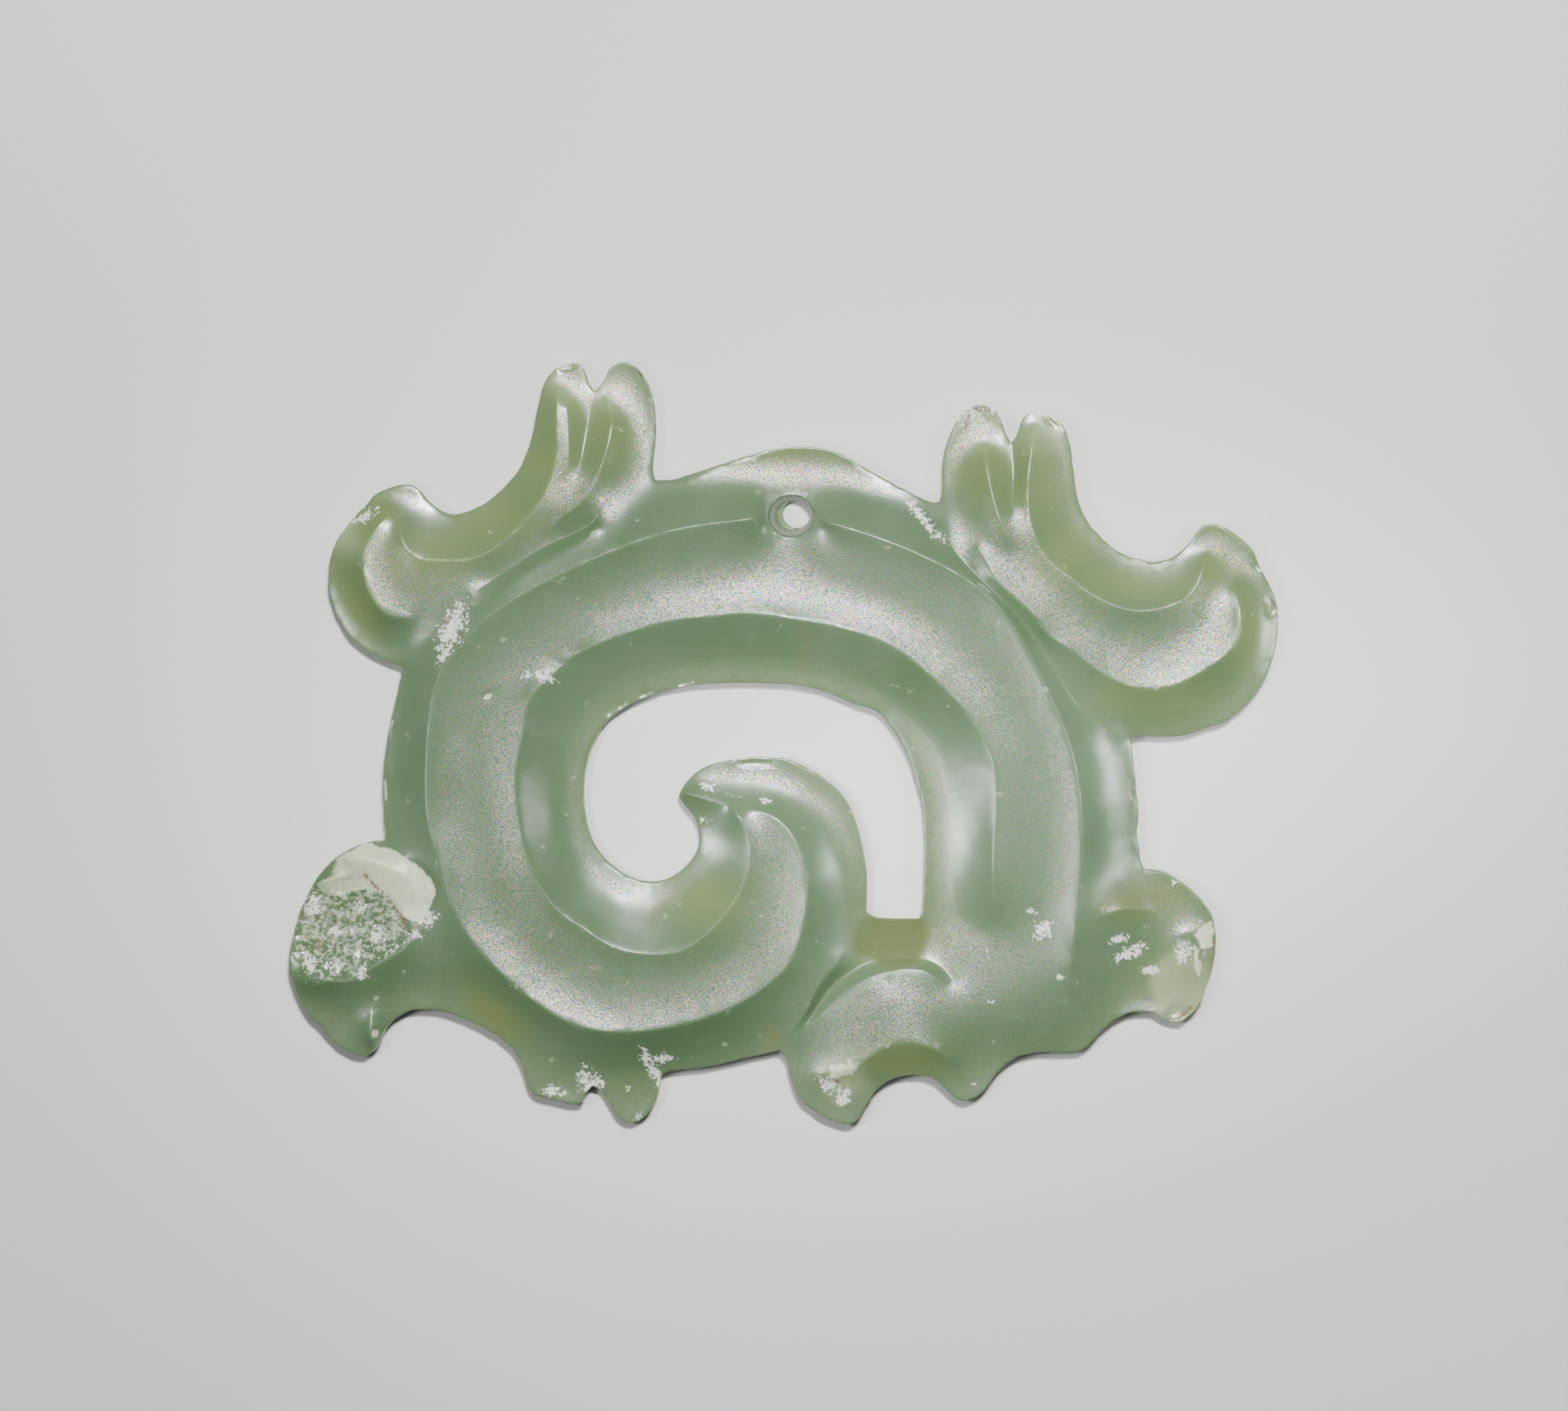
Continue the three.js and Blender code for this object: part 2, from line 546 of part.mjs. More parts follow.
// The opening is walked the other way round, so that the stone is always on the same hand.
const loops = [closedLoop(OUTLINE), closedLoop(OPENING).reverse()];
const carved = toGeometry(drill(toSolid(slabGeometry(loops))));

// The origin goes under the middle of the finished plaque.
carved.computeBoundingBox();
const middle = carved.boundingBox.getCenter(new THREE.Vector3());
carved.translate(-middle.x, -middle.y, -carved.boundingBox.min.z);

const plaque = new THREE.Mesh(carved, jade);
plaque.name = "jade_plaque";

const model = new THREE.Group();
model.add(plaque);

export default model;
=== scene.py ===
# %% [markdown]
# A hooked-cloud plaque of pale green jade. It is one thin slab with one opening, wide shallow
# grooves between soft ridges, thin edges, and old damage at its corners. The construction arrives
# as a fixed frame. This script gives it its surface: softened ridges, hand-worked edges, chips,
# crust and the stone itself.

import math

import bmesh
import bpy
import numpy as np
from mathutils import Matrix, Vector, noise
from mathutils.kdtree import KDTree


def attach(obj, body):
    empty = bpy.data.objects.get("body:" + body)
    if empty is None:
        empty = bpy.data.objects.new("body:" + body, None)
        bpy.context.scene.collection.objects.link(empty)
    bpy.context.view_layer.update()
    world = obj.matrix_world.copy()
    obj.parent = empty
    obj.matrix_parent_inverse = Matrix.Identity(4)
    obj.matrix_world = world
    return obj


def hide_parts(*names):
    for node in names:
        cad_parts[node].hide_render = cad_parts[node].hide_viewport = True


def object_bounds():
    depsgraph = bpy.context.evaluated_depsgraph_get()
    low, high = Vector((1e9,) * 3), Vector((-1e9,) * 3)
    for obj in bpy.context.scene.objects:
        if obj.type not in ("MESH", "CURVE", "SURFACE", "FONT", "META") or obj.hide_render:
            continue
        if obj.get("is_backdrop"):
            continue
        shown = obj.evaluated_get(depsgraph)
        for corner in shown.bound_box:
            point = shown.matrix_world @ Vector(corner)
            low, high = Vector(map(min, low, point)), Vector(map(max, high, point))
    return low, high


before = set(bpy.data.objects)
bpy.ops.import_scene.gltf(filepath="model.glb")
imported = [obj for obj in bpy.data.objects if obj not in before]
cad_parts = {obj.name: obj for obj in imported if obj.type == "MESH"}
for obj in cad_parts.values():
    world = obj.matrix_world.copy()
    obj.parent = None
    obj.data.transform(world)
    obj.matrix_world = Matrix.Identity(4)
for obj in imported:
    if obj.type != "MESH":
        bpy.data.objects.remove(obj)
cad_low, cad_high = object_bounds()
print("nodes:", sorted(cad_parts))

# %% [markdown]
# Every length below is in metres, and one millimetre is the handy unit for a carving of this size.
# The plaque lies on its flat back at height zero, with its carved face up.

# %% Sizes
MM = 0.001
PLAQUE_WIDTH = cad_high[0] - cad_low[0]
FULL_HEIGHT = cad_high[2] - cad_low[2]
BACK_BEVEL = 0.5 * MM
HOLE_CENTRE = Vector((1.04, 29.51)) * MM
HOLE_MOUTH = 3.35 * MM
BORE_CENTRE = Vector((1.69, 29.71)) * MM
BORE_RADIUS = 1.8 * MM
print("plaque is", round(PLAQUE_WIDTH / MM, 1), "mm wide and", round(FULL_HEIGHT / MM, 1), "thick")

# %% [markdown]
# The picture looks straight at the carved face, so the camera hangs over the lying plaque. The
# plaque takes up 1279 of the picture's 2022 pixels across, and the middle of the picture is a
# little above the middle of the plaque. A long lens keeps the view nearly parallel.

# %% Camera
PICTURE_WIDTH = 2022
PLAQUE_PIXELS = 1279
PLAQUE_MIDDLE = (1010.6, 959.1)
PICTURE_MIDDLE = (1011, 910)
LENS = 100
SENSOR = 36

metres_per_pixel = PLAQUE_WIDTH / PLAQUE_PIXELS
view_width = PICTURE_WIDTH * metres_per_pixel
camera_data = bpy.data.cameras.new("camera")
camera_data.lens = LENS
camera_data.sensor_width = SENSOR
camera = bpy.data.objects.new("camera", camera_data)
bpy.context.scene.collection.objects.link(camera)
camera.location = (
    (PICTURE_MIDDLE[0] - PLAQUE_MIDDLE[0]) * metres_per_pixel,
    (PLAQUE_MIDDLE[1] - PICTURE_MIDDLE[1]) * metres_per_pixel,
    view_width * LENS / SENSOR + 0.6 * FULL_HEIGHT,
)
bpy.context.scene.camera = camera
print("camera hangs at", [round(v, 3) for v in camera.location])

# %% [markdown]
# Polished stone shows its shape by what it mirrors. One soft light high behind the top edge runs
# along the grooves and does most of the work. Three small weak ones, kept narrow by their spread,
# pick out bevels: one low on the left, one higher up on the left that is aimed at the inner side
# of the right leg, and one low on the right. The world is an even dim grey, and the floor is plain.

# %% Lights, world and floor
def softbox(name, place, size, energy, target=(0, 0, 0), spread=180):
    data = bpy.data.lights.new(name, "AREA")
    data.shape = "RECTANGLE"
    data.size, data.size_y = size
    data.energy = energy
    data.spread = math.radians(spread)
    light = bpy.data.objects.new(name, data)
    light.visible_camera = False
    light.location = place
    aim = Vector(target) - Vector(place)
    light.rotation_euler = aim.to_track_quat("-Z", "Y").to_euler()
    bpy.context.scene.collection.objects.link(light)
    return light


RIGHT_LEG = (0.020, -0.010, 0)
RIGHT_BAND = (0.045, 0.005, 0)
softbox("top softbox", (0.05, 0.235, 0.54), (0.12, 0.07), 5.9)
softbox("left softbox", (-0.12, -0.01, 0.17), (0.03, 0.06), 0.026, (0.018, -0.010, 0), 60)
softbox("leg softbox", (-0.07, -0.02, 0.20), (0.02, 0.04), 0.005, RIGHT_LEG, 26)
softbox("right softbox", (0.13, 0.01, 0.10), (0.03, 0.06), 0.008, RIGHT_BAND, 45)

world = bpy.data.worlds.new("studio")
world.use_nodes = True
world.node_tree.nodes["Background"].inputs["Color"].default_value = (0.78, 0.82, 0.86, 1)
world.node_tree.nodes["Background"].inputs["Strength"].default_value = 0.05
bpy.context.scene.world = world


def build_floor():
    half = 1.2
    bm = bmesh.new()
    bmesh.ops.create_grid(bm, x_segments=1, y_segments=1, size=half)
    mesh = bpy.data.meshes.new("floor")
    bm.to_mesh(mesh)
    bm.free()
    floor = bpy.data.objects.new("floor", mesh)
    bpy.context.scene.collection.objects.link(floor)
    paper = bpy.data.materials.new("pale paper")
    paper.use_nodes = True
    shader = paper.node_tree.nodes["Principled BSDF"]
    shader.inputs["Base Color"].default_value = (0.74, 0.74, 0.72, 1)
    shader.inputs["Roughness"].default_value = 0.9
    floor.data.materials.append(paper)
    return floor


floor = build_floor()
floor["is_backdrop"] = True

# %% [markdown]
# The carved form comes from the construction, which is made of flat triangles a millimetre and a
# half across. A copy of it is merged into one skin. The ridges are the edges where the front
# bends sharply along a run of edges, so they are marked before the skin is cut finer: everything
# else may be smoothed, and they may not. The edges of a run all bend the same way, up to a ridge
# or down to a ditch, and a run has to be long and sharp enough. Other sharp edges are only bumps,
# and lose their mark again.

# %% Copy the skin and mark its lines
EDGE_ANGLE = math.radians(12)
RUN_ANGLE = math.radians(23)
RUN_TURN = math.radians(35)
SHORTEST_RUN = 5.2 * MM

skin = bmesh.new()
skin.from_mesh(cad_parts["jade_plaque"].data)
bmesh.ops.remove_doubles(skin, verts=skin.verts, dist=1e-6)
line_mark = skin.edges.layers.int.new("carved line")


def is_front(face):
    return face.normal.z > 0.35


def is_back(face):
    return face.normal.z < -0.9


def in_hole(place, room=1.0):
    return (place.xy - HOLE_CENTRE).length < HOLE_MOUTH * room


for edge in skin.edges:
    one, two = edge.link_faces
    middle = (edge.verts[0].co + edge.verts[1].co) / 2
    if is_front(one) != is_front(two):
        edge[line_mark] = 2
    elif is_front(one) and edge.calc_face_angle() > EDGE_ANGLE:
        edge[line_mark] = 1
    if in_hole(middle, 1.02) and not (is_back(one) and is_back(two)):
        edge[line_mark] = 2


def bends_alike(one, two):
    return one.calc_face_angle_signed() * two.calc_face_angle_signed() > 0


def run_on(edge, vert):
    """The other ridge edges at this end that carry straight on and bend the same way."""
    along = vert.co.xy - edge.other_vert(vert).co.xy
    for other in vert.link_edges:
        if other is not edge and other[line_mark] == 1 and bends_alike(edge, other):
            onward = other.other_vert(vert).co.xy - vert.co.xy
            if abs(along.angle(onward, math.pi)) < RUN_TURN:
                yield other


def ridge_runs():
    unseen = {edge for edge in skin.edges if edge[line_mark] == 1}
    while unseen:
        run = set()
        waiting = [unseen.pop()]
        while waiting:
            edge = waiting.pop()
            run.add(edge)
            for vert in edge.verts:
                for other in run_on(edge, vert):
                    if other in unseen:
                        unseen.discard(other)
                        waiting.append(other)
        yield run


for run in list(ridge_runs()):
    mean_angle = sum(edge.calc_face_angle() for edge in run) / len(run)
    length = sum(edge.calc_length() for edge in run)
    if mean_angle < RUN_ANGLE or length < SHORTEST_RUN:
        for edge in run:
            edge[line_mark] = 0
marked = sum(edge[line_mark] > 0 for edge in skin.edges)
print(len(skin.verts), "points,", marked, "edges on ridges and rims")

# %% [markdown]
# Each triangle is cut into sixteen. The back stays coarse because it is flat.

# %% Cut the skin finer
CUTS = 3

fine_edges = [e for e in skin.edges if not all(is_back(f) for f in e.link_faces)]
bmesh.ops.subdivide_edges(skin, edges=fine_edges, cuts=CUTS, use_grid_fill=True)
bmesh.ops.triangulate(skin, faces=[f for f in skin.faces if len(f.verts) > 3])
skin.verts.ensure_lookup_table()
skin.normal_update()
print(len(skin.verts), "points,", len(skin.faces), "triangles,",
      sum(edge[line_mark] > 0 for edge in skin.edges), "edges on lines")

# %% [markdown]
# The cut left the lines as chains of short straight runs. A real carved line bends evenly, so
# each point on a chain moves towards the middle of its two neighbours, then a little back, which
# rounds the chain without shrinking it. Sharp corners of the outline stay put.

# %% Round the outline and the ridges
CORNER_TURN = math.radians(38)
CHAIN_PASSES = 14


def chain_neighbours(kind):
    chains = {}
    for vert in skin.verts:
        along = [e.other_vert(vert) for e in vert.link_edges if e[line_mark] == kind]
        if len(along) == 2:
            chains[vert.index] = (along[0].index, along[1].index)
    return chains


def round_chain(kind):
    places = np.array([v.co for v in skin.verts])
    chains = chain_neighbours(kind)
    ids = np.array(sorted(chains))
    left = np.array([chains[i][0] for i in ids])
    right = np.array([chains[i][1] for i in ids])
    a = places[ids] - places[left]
    b = places[right] - places[ids]
    cross = a[:, 0] * b[:, 1] - a[:, 1] * b[:, 0]
    dot = (a * b)[:, :2].sum(1)
    free = np.abs(np.arctan2(cross, dot)) < CORNER_TURN
    ids, left, right = ids[free], left[free], right[free]
    moved = places.copy()
    for step in range(CHAIN_PASSES):
        pull = 0.5 if step % 2 == 0 else -0.52
        middle = (moved[left] + moved[right]) / 2
        moved[ids] += pull * (middle - moved[ids])
    return places, moved, ids


def wall_points():
    """Points below the rim: the edge of the slab, its back bevel and the wall of the hole."""
    return [v for v in skin.verts if not any(is_front(f) for f in v.link_faces)]


places, moved, rim = round_chain(2)
rim_tree = KDTree(len(rim))
for place, index in enumerate(rim):
    rim_tree.insert(Vector((places[index][0], places[index][1], 0)), place)
rim_tree.balance()
shift = moved[rim] - places[rim]
for vert in wall_points():
    _, place, distance = rim_tree.find(Vector((vert.co.x, vert.co.y, 0)))
    if distance < BACK_BEVEL * 1.6 and not in_hole(vert.co, 1.1):
        vert.co.x += shift[place][0]
        vert.co.y += shift[place][1]
for index in rim:
    if not in_hole(skin.verts[index].co, 1.1):
        skin.verts[index].co = moved[index]
places, moved, ridge = round_chain(1)
for index in ridge:
    skin.verts[index].co = moved[index]
print(len(rim), "rim points and", len(ridge), "ridge points rounded")

# %% [markdown]
# Between the lines the stone was ground hollow. The surface there takes the shape of a stretched
# film that hangs from the ridges and rims and sags a little everywhere, and more along the rims,
# where the bevels flatten out towards the edge. Two places swell up instead: the lobe under the
# opening, and the foot of the right leg. The heights come from one large set of linear equations,
# one per free point, which the conjugate gradient method solves in a few hundred steps. The free
# points are spaced evenly first, by sliding each to the middle of its neighbours.

# %% Stretch a film between the lines
SLIDE_PASSES = 12
GROOVE_BEND = 0.052
BEVEL_BEND = 0.115
BEVEL_REACH = 5.5
FILM_STEPS = 700
SWELLS = [
    {"place": (12.9, -34.6), "size": (11, 8), "bend": -0.045},
    {"place": (30.9, -34.1), "size": (13, 8), "bend": -0.045},
]

held = {v for e in skin.edges if e[line_mark] > 0 for v in e.verts}
sliding = [v for v in skin.verts if all(is_front(f) for f in v.link_faces) and v not in held]
for _ in range(SLIDE_PASSES):
    bmesh.ops.smooth_vert(skin, verts=sliding, factor=0.5, use_axis_x=True, use_axis_y=True)

film = np.array([v.co for v in skin.verts]) / MM
triangles = np.array([[v.index for v in f.verts] for f in skin.faces if is_front(f)])
on_rim = np.zeros(len(film), bool)
for edge in skin.edges:
    for vert in edge.verts:
        on_rim[vert.index] |= edge[line_mark] == 2 and not in_hole(vert.co, 1.1)
free = np.zeros(len(film), bool)
free[[v.index for v in sliding]] = True

pairs, pulls = [], []
share = np.zeros(len(film))
for corner in range(3):
    tip, one, two = (triangles[:, (corner + turn) % 3] for turn in range(3))
    a, b = film[one, :2] - film[tip, :2], film[two, :2] - film[tip, :2]
    twice_area = np.abs(a[:, 0] * b[:, 1] - a[:, 1] * b[:, 0]) + 1e-9
    pulls.append(np.clip((a * b).sum(1) / twice_area, 0.05, 20) / 2)
    pairs.append(np.stack([one, two], 1))
    share += np.bincount(tip, twice_area / 6, len(film))
pairs, pulls = np.concatenate(pairs), np.concatenate(pulls)

rim_distance = KDTree(int(on_rim.sum()))
for index in np.flatnonzero(on_rim):
    rim_distance.insert(Vector((film[index][0], film[index][1], 0)), int(index))
rim_distance.balance()
from_rim = np.array([rim_distance.find(Vector((x, y, 0)))[2] for x, y, _ in film])
near_edge = np.clip(1 - from_rim / BEVEL_REACH, 0, 1)
bend = GROOVE_BEND + (BEVEL_BEND - GROOVE_BEND) * np.sqrt(near_edge)
for swelling in SWELLS:
    reach = np.hypot(*((film[:, :2] - swelling["place"]) / swelling["size"]).T)
    bend += np.clip(1 - reach**2, 0, 1) * (swelling["bend"] - bend)


def tension(height):
    flow = pulls * (height[pairs[:, 0]] - height[pairs[:, 1]])
    count = len(height)
    return np.bincount(pairs[:, 0], flow, count) - np.bincount(pairs[:, 1], flow, count)


height = film[:, 2].copy()
rest = np.where(free, -bend * share - tension(height), 0)
step = rest.copy()
left_over = rest @ rest
for _ in range(FILM_STEPS):
    pull = np.where(free, tension(step), 0)
    size = left_over / (step @ pull)
    height += size * step
    rest -= size * pull
    was, left_over = left_over, rest @ rest
    step = rest + left_over / was * step
print("film moved points by up to", round(float(np.abs(height - film[:, 2]).max()), 2),
      "mm, and", round(float(np.abs(height - film[:, 2]).mean()), 3), "mm on average")
for vert, level in zip(skin.verts, height):
    vert.co.z = min(level * MM, FULL_HEIGHT)

# %% [markdown]
# Centuries of handling took the razor edge off the ridges and blunted the rim. The points next to
# a line are first drawn in close to it, so that the rounding stays narrow. The points on the line
# then move towards the middle of their neighbours.

# %% Wear the ridges and the rim
DRAW_IN = 0.45
RIDGE_WEAR = 2
RIM_WEAR = 2

line_points = {v for e in skin.edges if e[line_mark] > 0 for v in e.verts}
worn_points = [v for v in line_points if not in_hole(v.co, 1.15)]
drawn = {}
for vert in skin.verts:
    near_line = [e.other_vert(vert) for e in vert.link_edges if e.other_vert(vert) in line_points]
    if near_line and vert not in line_points and not in_hole(vert.co, 1.3):
        drawn[vert] = sum((v.co for v in near_line), Vector()) / len(near_line)
for vert, place in drawn.items():
    if vert.co.z > 0.05 * MM:
        vert.co = vert.co.lerp(place, DRAW_IN)
ridge_points = [v for v in worn_points if not on_rim[v.index]]
rim_points = [v for v in worn_points if on_rim[v.index]]
for points, passes in ((ridge_points, RIDGE_WEAR), (rim_points, RIM_WEAR)):
    for _ in range(passes):
        bmesh.ops.smooth_vert(skin, verts=points, factor=0.35,
                              use_axis_x=True, use_axis_y=True, use_axis_z=True)
skin.normal_update()
print(len(ridge_points), "ridge points worn,", len(rim_points), "rim points blunted")

# %% [markdown]
# The rest of the shaping pushes points about by smooth random swells, so the script keeps all
# places as one array in millimetres and writes them back at the end.

# %% Gather the points
P = np.array([v.co for v in skin.verts]) / MM
N = np.array([v.normal for v in skin.verts])
X, Y, Z = P[:, 0], P[:, 1], P[:, 2]
FRONT = np.array([all(is_front(f) for f in v.link_faces) for v in skin.verts])
EDGES = np.array([[e.verts[0].index, e.verts[1].index] for e in skin.edges])
DEGREE = np.bincount(EDGES.ravel(), minlength=len(P)).astype(float)


def swell(size, seed, depth=1.0):
    """A smooth random value for every point, about -1 to 1, with swells of this size in mm."""
    shift = Vector((seed * 17.3, seed * 5.1, seed * 9.7))
    return np.array([noise.noise(Vector(p) / size + shift) for p in P]) * depth * 1.6


def spread_out(mask, passes):
    """The mask blurred over the skin, each point taking the mean of itself and its neighbours."""
    for _ in range(passes):
        total = np.bincount(EDGES[:, 0], mask[EDGES[:, 1]], len(P))
        total += np.bincount(EDGES[:, 1], mask[EDGES[:, 0]], len(P))
        mask = 0.4 * mask + 0.6 * total / DEGREE
    return mask


def ease(low, high, value):
    t = np.clip((value - low) / (high - low), 0, 1)
    return t * t * (3 - 2 * t)


COARSE = swell(2.2, 1)
FINE = swell(0.8, 2)
print("gathered", len(P), "points")

# %% [markdown]
# Places on the plaque are given in millimetres from its middle. A patch is an oval with a ragged
# border, and an area is a drawn outline.

# %% Patches and areas
def patch(x, y, long, short, turn=0, ragged=0.35):
    angle = math.radians(turn)
    u = (X - x) * math.cos(angle) + (Y - y) * math.sin(angle)
    v = -(X - x) * math.sin(angle) + (Y - y) * math.cos(angle)
    reach = np.hypot(u / long, v / short)
    return np.clip(1.25 - reach - ragged * FINE, 0, 1)


def patches(rows):
    mask = np.zeros(len(P))
    for row in rows:
        mask = np.maximum(mask, patch(*row))
    return mask


def area(corners, blur=2):
    inside = np.zeros(len(P), bool)
    for (ax, ay), (bx, by) in zip(corners, corners[1:] + corners[:1]):
        crosses = (ay > Y) != (by > Y)
        with np.errstate(divide="ignore", invalid="ignore"):
            left = X < (bx - ax) * (Y - ay) / (by - ay) + ax
        inside ^= crosses & left
    return spread_out(inside.astype(float), blur)


# %% [markdown]
# A hand-ground surface is never quite true. Slow swells a few hundredths of a millimetre high
# bend the reflections, and the thin edges are nibbled all round.

# %% Hand-worked unevenness
SLOW_SWELL = 0.035
QUICK_SWELL = 0.012
NIBBLE_DEPTH = 0.10
CREST_GAIN = 2.2

RIM = np.zeros(len(P))
CREST = np.zeros(len(P))
for edge in skin.edges:
    for vert in edge.verts:
        RIM[vert.index] = max(RIM[vert.index], edge[line_mark] == 2)
        CREST[vert.index] = max(CREST[vert.index], edge[line_mark] == 1)
HOLE_NEAR = np.hypot(X - HOLE_CENTRE.x / MM, Y - HOLE_CENTRE.y / MM) < HOLE_MOUTH / MM * 1.25
RIM[HOLE_NEAR] = 0
near_rim = spread_out(RIM, 3)
crest = np.clip(CREST_GAIN * spread_out(CREST, 2), 0, 1)
Z += np.where(FRONT, SLOW_SWELL * swell(6, 3) + QUICK_SWELL * COARSE, 0)
outward = N[:, :2] / np.maximum(np.linalg.norm(N[:, :2], axis=1), 1e-6)[:, None]
nibble = -NIBBLE_DEPTH * np.clip(swell(1.1, 4) + 0.15, 0, 1) * (near_rim > 0.02) * (Z > 0.4)
nibble[HOLE_NEAR] = 0
P[:, 0] += outward[:, 0] * nibble
P[:, 1] += outward[:, 1] * nibble
print("edges nibbled by up to", round(float(-nibble.min()), 2), "mm")

# %% [markdown]
# The lower left lobe has lost its surface: a waxy shell-shaped flake has come off its upper part,
# with two small facets stepped down along its right side, and the rest is a rough, pitted break.
# Small chips sit along the edges.

# %% Break and chips
FLAKE = [(-58.2, -15.1), (-54, -12.8), (-51.5, -13), (-48.3, -14.8), (-46.3, -16.3),
         (-44.7, -18.2), (-44.7, -19.3), (-45.4, -20.9), (-46.5, -23.1), (-49.2, -22.5),
         (-50.6, -20), (-52.4, -18.8), (-54.2, -16.8)]
BREAK = [(-60.8, -18.8), (-57.4, -17.4), (-54, -16.7), (-52.2, -18.8), (-50.5, -20.2),
         (-48.7, -22.7), (-47.8, -25), (-50.5, -26.5), (-53.7, -28.4), (-54.1, -29.9),
         (-61, -30.6), (-63.2, -26.3)]
FACETS = [([(-49, -15), (-46.2, -15.6), (-46.9, -17.8), (-48.6, -17)], 0.16),
          ([(-46.2, -15.6), (-44.4, -18), (-44.8, -20.8), (-46.3, -22.8), (-46.9, -17.8)], 0.22)]
flake = area(FLAKE)
broken = area(BREAK)
rough = 0.22 * swell(1.5, 5) + 0.16 * FINE + 0.10 * swell(0.45, 6)
Z += np.where(FRONT, broken * (rough - 0.25) + flake * 0.06 * COARSE, 0)
for corners, depth in FACETS:
    Z -= np.where(FRONT, area(corners, 1) * depth * (0.8 + 0.3 * FINE), 0)

CHIPS = [(-37.9, 6.2, 0.9, 0.6, 40, 0.12), (-42.6, 14.6, 1.2, 2.6, -20, 0.22),
         (25.4, 42.6, 2.0, 1.2, 20, 0.35), (34.6, 42, 1.8, 0.9, -30, 0.35),
         (-28, 48.6, 1.4, 0.7, 10, 0.4), (-55, 29.3, 2.2, 0.6, 40, 0.3),
         (7.2, -44.2, 2.4, 1.6, 20, 0.25), (-25, -44, 1.2, 1.6, 20, 0.3),
         (-17, -41.8, 0.9, 2.2, 25, 0.2), (53.8, -27, 1.2, 2.4, 10, 0.3),
         (50.6, -34.8, 1.6, 1.0, 30, 0.4), (63, 17.6, 0.8, 1.6, 0, 0.3),
         (61.2, 23.2, 0.6, 1.0, 30, 0.3), (-12.6, 7.5, 1.2, 0.5, 10, 0.3),
         (-18, 6.2, 1.4, 0.5, 20, 0.3), (-20.8, 4.9, 1.0, 0.5, 30, 0.3),
         (-22.4, 4.0, 0.8, 0.5, 50, 0.3), (-3.4, -2.4, 2.6, 0.5, 0, 0.3),
         (45.5, -5.8, 0.6, 1.4, 0, 0.25), (-50.8, 2, 0.5, 2.4, 0, 0.2),
         (-51.2, -6, 0.5, 2.0, 0, 0.2), (13.4, -30.6, 0.6, 0.4, 0, 0.1)]
for x, y, long, short, turn, depth in CHIPS:
    bite = ease(0.1, 0.7, patch(x, y, long, short, turn))
    Z -= np.where(FRONT, bite * depth * (0.7 + 0.3 * FINE), 0)
print(len(CHIPS), "chips, and a break over", int(broken.sum()), "points")

# %% [markdown]
# Crust, stain and the changes of colour in the stone are kept as values on the points, and the
# stone's material reads them. The stone is warmer, more yellow, in the hooks, and milky at their
# tips, which are also lightened with painted light as if light shone through the thin stone. Two
# hollow places get a dark olive that is partly painted shade, and they are dull as well. A thin
# brown crack borders the flake. The crust also stands a few hundredths of a millimetre proud.

# %% Crust, stain and colour
CRUST = [(-42.6, 14.9, 1.6, 3.4, -20), (-43.6, 11.4, 0.6, 1.4, -20), (-32.1, 8.9, 2.0, 0.4, 10),
         (-30.3, 8.3, 1.2, 0.35, -10), (17.9, 29.1, 4.0, 0.5, -48), (-54.1, 29.4, 1.8, 0.7, 25),
         (-29.8, -44.9, 1.5, 0.6, -5), (-25.4, -43.2, 1.1, 1.8, 10), (-24, -43.6, 0.7, 1.4, 30),
         (-17.1, -41.6, 0.9, 2.6, 25), (-15.6, -40.6, 1.3, 0.6, 0), (-20, -44.5, 0.3, 0.3, 0),
         (-18.9, -48.5, 0.6, 0.35, 20), (5.6, -44, 1.3, 1.0, -30), (7.8, -45.6, 1.2, 1.2, 0),
         (33.4, -23.9, 1.2, 1.4, -40), (32, -21.6, 0.8, 0.3, 0), (44.5, -27.1, 2.4, 0.8, 25),
         (47.4, -29.2, 1.4, 0.6, 0), (-9.7, -5.6, 1.2, 0.5, -20), (-2.3, -7.3, 0.7, 0.5, 0),
         (-10.3, -9.9, 1.0, 0.25, 0), (24, 42.2, 1.2, 2.0, -40), (27.2, 43.2, 1.0, 0.8, 0),
         (33, 42.6, 1.6, 0.5, 0), (-28, 49, 0.9, 0.4, 10), (-60.6, -21.2, 1.2, 1.3, 0),
         (-57.5, -24.2, 1.6, 0.6, 0), (-61, -28.2, 1.0, 1.2, 0), (-57.6, -28.6, 0.8, 0.6, 0),
         (-54.2, -29.4, 0.7, 1.0, 0), (-52.6, -24.8, 1.4, 0.8, 30), (-54.5, -21.2, 1.0, 0.6, 0),
         (-50, -26.4, 2.4, 0.35, 32), (-47.5, -24.6, 1.0, 0.7, 0), (-45.9, -22.6, 1.4, 0.9, 30),
         (51.5, -27, 1.0, 1.2, 0), (43.4, -25.2, 1.2, 0.5, 15), (50.4, -18, 0.8, 0.4, 20),
         (35.6, -30, 0.6, 0.3, 30), (26.6, -33.4, 0.4, 0.25, 0), (24.6, -44, 0.6, 0.3, 0)]
PALE = [(24.6, 43.6, 1.2, 0.7, 10), (54.4, -24.8, 1.5, 2.6, 10), (53.3, -28, 0.4, 3.2, 8),
        (7.6, -42, 2.4, 1.2, 20), (-37.9, 6.2, 0.8, 0.5, 40), (-28.4, 48.6, 1.4, 0.8, 10),
        (-15.8, -44, 0.7, 3.0, 10), (-52.6, -37.4, 0.6, 0.8, 0)]
